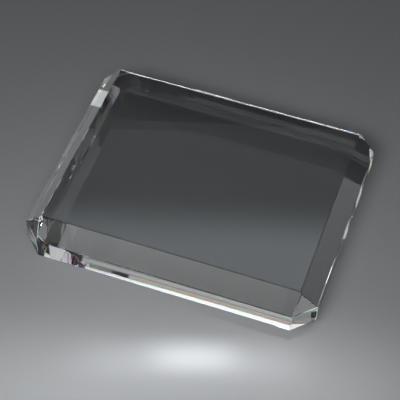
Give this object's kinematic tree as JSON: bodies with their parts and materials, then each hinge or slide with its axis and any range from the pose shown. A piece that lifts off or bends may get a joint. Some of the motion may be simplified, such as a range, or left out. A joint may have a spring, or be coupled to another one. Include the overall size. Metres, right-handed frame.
{
  "type": "crystal award block",
  "caption": "Clear optical crystal award: a flat rectangular block with bevelled edges on both faces, clipped corners and a blank front face for engraving.",
  "frame": {"origin": "centre of the back face, which the block lies on", "axes": "+Z out of the front (engraving) face, +X along the long side, +Y along the short side, towards the top of the award"},
  "size_m": [0.12, 0.1, 0.0232],
  "materials": {
    "optical_crystal": "clear lead-free optical crystal, ground and polished to a mirror finish on every face"
  },
  "bodies": {
    "root": {"crystal_block": "optical_crystal"}
  },
  "joints": []
}
